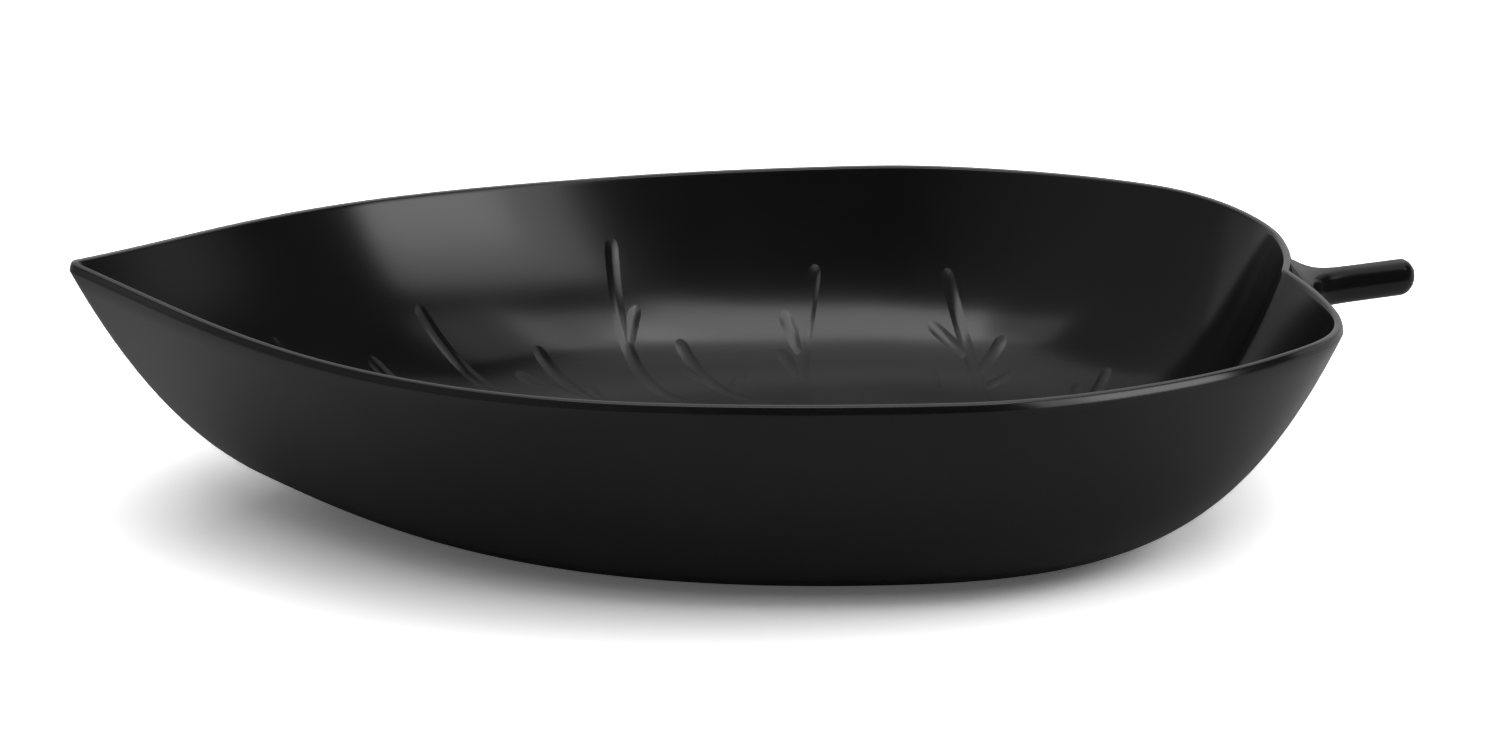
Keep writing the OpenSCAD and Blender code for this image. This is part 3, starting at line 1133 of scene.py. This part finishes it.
@dataclass(frozen=True)
class Softbox:
    """One soft rectangular lamp that faces the bowl and that no camera sees.

    A lamp that spares the stem lights everything else, as if a black flag stood between the two.
    """

    name: str
    azimuth: float
    elevation: float
    size: Pair
    brightness: float
    role: Role
    roll: float = 0.0
    spares_stem: bool = False
    distance: float = 1.5

    def build(self, stem: Piece) -> Piece:
        """Hang the lamp.

        Args:
            stem: The stem, which the lamp may spare.

        Returns:
            The lamp.
        """
        a = math.radians(self.azimuth)
        e = math.radians(self.elevation)
        way = Vector((math.cos(a) * math.cos(e), math.sin(a) * math.cos(e), math.sin(e)))
        data = bpy.data.lights.new(self.name, "AREA")
        data.shape = "RECTANGLE"
        data.size, data.size_y = self.size
        data.energy = self.brightness * math.pi * self.size[0] * self.size[1]
        lamp = bpy.data.objects.new(self.name, data)
        lamp.location = way * self.distance
        facing = way.to_track_quat("Z", "Y") @ Quaternion((0.0, 0.0, 1.0), math.radians(self.roll))
        lamp.rotation_euler = facing.to_euler()
        lamp.visible_camera = False
        lamp.visible_glossy = self.role is Role.GLEAM
        lamp.visible_diffuse = self.role is Role.GLOW
        bpy.context.scene.collection.objects.link(lamp)
        if self.spares_stem:
            spared = bpy.data.collections.new(f"{self.name}_flag")
            spared.objects.link(stem)
            spared.collection_objects[0].light_linking.link_state = "EXCLUDE"
            lamp.light_linking.receiver_collection = spared
        return lamp


@dataclass(frozen=True)
class Studio:
    """A white floor and backdrop in a dim room, with soft lamps.

    The floor has one level for the light that it throws on the bowl, one for its mirror image in glossy
    surfaces and one for what is seen straight or through glass. Its mirror image is brighter towards
    both ends of the bowl.
    """

    floor_size: float = 8.0
    floor_colour: float = 0.8
    floor_mirrored: Pair = (0.5, 0.26)
    tip_end: Pair = (-0.2, -0.06)
    stem_end: Pair = (0.08, 0.2)
    stem_end_gain: float = 0.14
    floor_seen: float = 1.7
    floor_lift: float = 0.07
    room_levels: Pair = (0.05, 0.26)
    room_turn: Pair = (-0.5, 0.3)
    room_azimuth: float = 150.0
    backdrop_top: Pair = (0.23, 0.31)
    backdrop_slope: float = 0.15
    backdrop_side: Pair = (-0.02, 0.12)
    backdrop_end: Pair = (-0.9, -0.6)
    backdrop_dim: float = 0.7
    backdrop_level: float = 0.65
    softboxes: tuple[Softbox, ...] = (
        Softbox("right_softbox", -42.5, 15.5, (1.0, 0.7), 2.0, Role.GLEAM, spares_stem=True),
        Softbox("right_core_softbox", -38.0, 13.0, (0.72, 0.5), 1.8, Role.GLEAM, spares_stem=True),
        Softbox(
            "front_softbox", -88.0, 49.0, (1.2, 0.53), 3.0, Role.GLEAM, roll=-12.0, spares_stem=True
        ),
        Softbox("front_right_softbox", -50.0, 45.0, (0.45, 0.45), 1.5, Role.GLEAM),
        Softbox("front_end_softbox", -30.0, 43.0, (0.55, 0.5), 0.6, Role.GLEAM, spares_stem=True),
        Softbox("front_left_softbox", -132.0, 49.0, (0.6, 0.42), 0.8, Role.GLEAM),
        Softbox("back_softbox", 40.0, 45.0, (1.2, 0.8), 0.45, Role.GLEAM),
        Softbox("top_softbox", -90.0, 85.0, (1.6, 1.6), 0.7, Role.GLEAM),
        Softbox("rear_softbox", 95.0, 50.0, (1.4, 1.1), 0.5, Role.GLEAM),
        Softbox("side_softbox", 5.0, 27.0, (1.0, 0.7), 4.3, Role.GLOW),
        Softbox("overhead_softbox", 0.0, 84.0, (2.0, 2.0), 2.1, Role.GLOW),
        Softbox("fill_softbox", -90.0, 46.0, (1.2, 0.5), 0.9, Role.GLOW),
    )

    @staticmethod
    def paper(tree: Tree, level: float) -> Socket:
        """Return the socket of a dull grey surface of a given level."""
        shader = tree.nodes.new("ShaderNodeBsdfDiffuse")
        shader.inputs["Color"].default_value = (level, level, level, 1.0)
        return shader.outputs["BSDF"]

    def build_floor(self) -> Piece:
        """Lay the floor, which shows white where no shadow falls and lights the bowl like pale paper.

        Returns:
            The floor.
        """
        half = self.floor_size / 2
        mesh = bpy.data.meshes.new("studio_floor")
        corners = [(-half, -half, 0.0), (half, -half, 0.0), (half, half, 0.0), (-half, half, 0.0)]
        mesh.from_pydata(corners, [], [(0, 1, 2, 3)])
        floor = bpy.data.objects.new("studio_floor", mesh)
        bpy.context.scene.collection.objects.link(floor)
        material = bpy.data.materials.new("studio_white")
        material.use_nodes = True
        tree = material.node_tree
        tree.nodes.remove(tree.nodes["Principled BSDF"])
        path = tree.nodes.new("ShaderNodeLightPath").outputs
        shown = self.combined(tree, "MAXIMUM", path["Is Camera Ray"], path["Is Transmission Ray"])
        surface = self.paper(tree, self.floor_colour)
        lifted = tree.nodes.new("ShaderNodeAddShader")
        glow = tree.nodes.new("ShaderNodeEmission")
        glow.inputs["Strength"].default_value = self.floor_lift
        tree.links.new(self.paper(tree, self.floor_seen), lifted.inputs[0])
        tree.links.new(glow.outputs["Emission"], lifted.inputs[1])
        place = tree.nodes.new("ShaderNodeSeparateXYZ")
        tree.links.new(tree.nodes.new("ShaderNodeTexCoord").outputs["Object"], place.inputs[0])
        level = eased(tree, place.outputs["X"], self.tip_end, self.floor_mirrored)
        gain = eased(tree, place.outputs["X"], self.stem_end, (0.0, self.stem_end_gain))
        mirrored = tree.nodes.new("ShaderNodeBsdfDiffuse")
        tree.links.new(self.combined(tree, "ADD", level, gain), mirrored.inputs["Color"])
        looks = ((path["Is Glossy Ray"], mirrored.outputs["BSDF"]), (shown, lifted.outputs["Shader"]))
        for ray, look in looks:
            choice = tree.nodes.new("ShaderNodeMixShader")
            tree.links.new(ray, choice.inputs["Fac"])
            tree.links.new(surface, choice.inputs[1])
            tree.links.new(look, choice.inputs[2])
            surface = choice.outputs["Shader"]
        tree.links.new(surface, tree.nodes["Material Output"].inputs["Surface"])
        mesh.materials.append(material)
        return floor

    @staticmethod
    def combined(tree: Tree, how: str, *values: Socket) -> Socket:
        """Combine two values.

        Args:
            tree: The nodes of the floor or the surround.
            how: The name of the operation.
            values: The two values.

        Returns:
            The socket with the result.
        """
        node = tree.nodes.new("ShaderNodeMath")
        node.operation = how
        for socket, value in zip(node.inputs, values):
            tree.links.new(value, socket)
        return node.outputs[0]

    def build_surround(self) -> bpy.types.World:
        """Make the surround: a white backdrop low behind the bowl, in a room that dims to the front.

        Returns:
            The world.
        """
        world = bpy.data.worlds.new("studio_surround")
        bpy.context.scene.world = world
        world.use_nodes = True
        tree = world.node_tree
        shader = tree.nodes["Background"]
        shader.inputs["Color"].default_value = (1.0, 1.0, 1.0, 1.0)
        way = tree.nodes.new("ShaderNodeSeparateXYZ")
        place = tree.nodes.new("ShaderNodeTexCoord").outputs["Generated"]
        tree.links.new(place, way.inputs[0])
        bright = math.radians(self.room_azimuth)
        reaches = []
        for heading in ((math.cos(bright), math.sin(bright), 0.0), (0.0, -self.backdrop_slope, 1.0)):
            node = tree.nodes.new("ShaderNodeVectorMath")
            node.operation = "DOT_PRODUCT"
            node.inputs[1].default_value = heading
            tree.links.new(place, node.inputs[0])
            reaches.append(node.outputs["Value"])
        room = eased(tree, reaches[0], self.room_turn, self.room_levels)
        low = eased(tree, reaches[1], self.backdrop_top, (self.backdrop_level, 0.0))
        behind = eased(tree, way.outputs["Y"], self.backdrop_side, (0.0, 1.0))
        beside = eased(tree, way.outputs["X"], self.backdrop_end, (self.backdrop_dim, 1.0))
        path = tree.nodes.new("ShaderNodeLightPath").outputs
        through = self.combined(tree, "MAXIMUM", path["Is Glossy Ray"], path["Is Transmission Ray"])
        sides = self.combined(tree, "MULTIPLY", behind, beside)
        backdrop = self.combined(tree, "MULTIPLY", self.combined(tree, "MULTIPLY", low, sides), through)
        white = self.combined(tree, "MAXIMUM", backdrop, path["Is Camera Ray"])
        tree.links.new(self.combined(tree, "MAXIMUM", room, white), shader.inputs["Strength"])
        return world

    def build(self, stem: Piece) -> None:
        """Set the colours' view, then make the floor, the surround and the lamps.

        Args:
            stem: The stem, which some lamps spare.
        """
        bpy.context.scene.view_settings.view_transform = "Standard"
        self.build_floor()
        self.build_surround()
        for box in self.softboxes:
            box.build(stem)


def main() -> None:
    """Build and dress the bowl, then light it."""
    logging.basicConfig(level=logging.INFO, format="%(message)s")
    form = BowlForm()
    inside = SATIN_INSIDE.material()
    outside = MATTE_OUTSIDE.material()
    gloss = GLOSS_STEM.material()
    foot = MATTE_FOOT.material()
    PhotoCamera().build()
    BowlShell(form, inside, outside).build()
    VeinRelief(form, inside).build()
    stem = StemHandle(form, gloss).build()
    FootRing(form, foot).build()
    Studio().build(stem)


if __name__ == "__main__":
    main()
